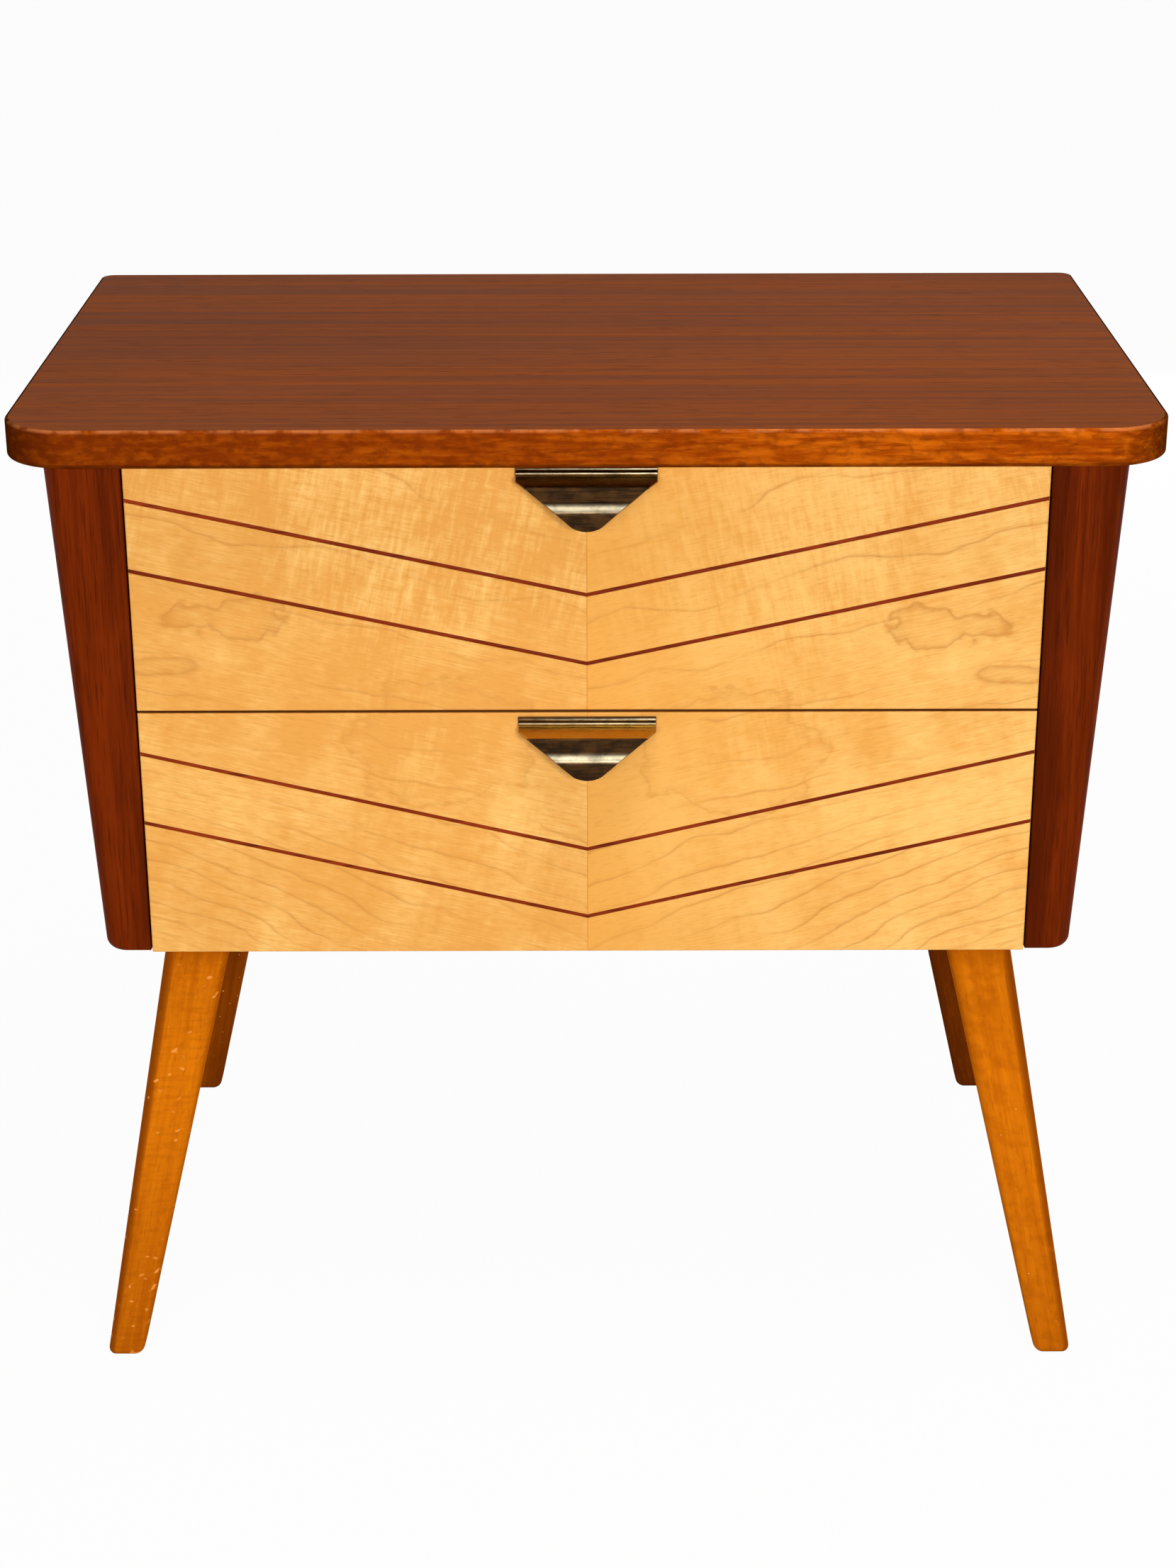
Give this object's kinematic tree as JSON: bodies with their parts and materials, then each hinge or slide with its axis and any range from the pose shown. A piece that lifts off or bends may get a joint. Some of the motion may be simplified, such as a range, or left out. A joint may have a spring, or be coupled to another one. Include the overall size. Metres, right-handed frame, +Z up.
{
  "type": "nightstand",
  "caption": "Bedside cabinet with chevron-strung maple drawers, brass hood pulls, tapered side panels, an overhanging round-cornered top and splayed tapered legs.",
  "frame": {"origin": "on the floor, under the middle of the top", "axes": "+X to the right along the width as seen from the front, +Y from the drawer fronts to the back, +Z up"},
  "size_m": [0.6, 0.365, 0.558],
  "materials": {
    "mahogany": "red-brown mahogany veneer under worn satin lacquer",
    "maple": "book-matched figured maple veneer under satin lacquer",
    "string": "dark red stringing, lacquered with the front",
    "leg_beech": "beech, stained orange-brown and lacquered, with small chips",
    "drawer_beech": "plain beech, planed and waxed",
    "plywood": "plain rotary-cut plywood, unfinished",
    "brass": "darkened brass, rubbed bright on the high places",
    "steel": "dull bright steel"
  },
  "bodies": {
    "case": {"top_panel": "mahogany", "side_panel_left": "mahogany", "side_panel_right": "mahogany", "bottom_panel": "plywood", "back_panel": "plywood", "top_rail_front": "drawer_beech", "top_rail_back": "drawer_beech", "leg_front_left": "leg_beech", "leg_front_right": "leg_beech", "leg_back_left": "leg_beech", "leg_back_right": "leg_beech", "base_rail_left": "leg_beech", "base_rail_right": "leg_beech", "runner_lower_left": "drawer_beech", "runner_lower_right": "drawer_beech", "runner_upper_left": "drawer_beech", "runner_upper_right": "drawer_beech", "top_screw_front_left": "steel", "top_screw_front_right": "steel", "top_screw_back_left": "steel", "top_screw_back_right": "steel", "back_screw_low_left": "steel", "back_screw_low_right": "steel", "back_screw_high_left": "steel", "back_screw_high_right": "steel", "leg_screw_front_left": "steel", "leg_screw_front_right": "steel", "leg_screw_back_left": "steel", "leg_screw_back_right": "steel", "base_screw_left": "steel", "base_screw_right": "steel", "runner_screw_lower_left_front": "steel", "runner_screw_lower_left_back": "steel", "runner_screw_lower_right_front": "steel", "runner_screw_lower_right_back": "steel", "runner_screw_upper_left_front": "steel", "runner_screw_upper_left_back": "steel", "runner_screw_upper_right_front": "steel", "runner_screw_upper_right_back": "steel"},
    "upper_drawer": {"upper_front": "maple", "upper_side_left": "drawer_beech", "upper_side_right": "drawer_beech", "upper_back": "drawer_beech", "upper_bottom": "plywood", "upper_string_low": "string", "upper_string_high": "string", "upper_pull": "brass", "upper_pull_screw_left": "steel", "upper_pull_screw_right": "steel"},
    "lower_drawer": {"lower_front": "maple", "lower_side_left": "drawer_beech", "lower_side_right": "drawer_beech", "lower_back": "drawer_beech", "lower_bottom": "plywood", "lower_string_low": "string", "lower_string_high": "string", "lower_pull": "brass", "lower_pull_screw_left": "steel", "lower_pull_screw_right": "steel"}
  },
  "joints": [
    {"name": "upper_drawer_slide", "type": "slide", "parent": "case", "child": "upper_drawer", "axis": [0, -1, 0], "range_m": [0, 0.22]},
    {"name": "lower_drawer_slide", "type": "slide", "parent": "case", "child": "lower_drawer", "axis": [0, -1, 0], "range_m": [0, 0.22]}
  ]
}
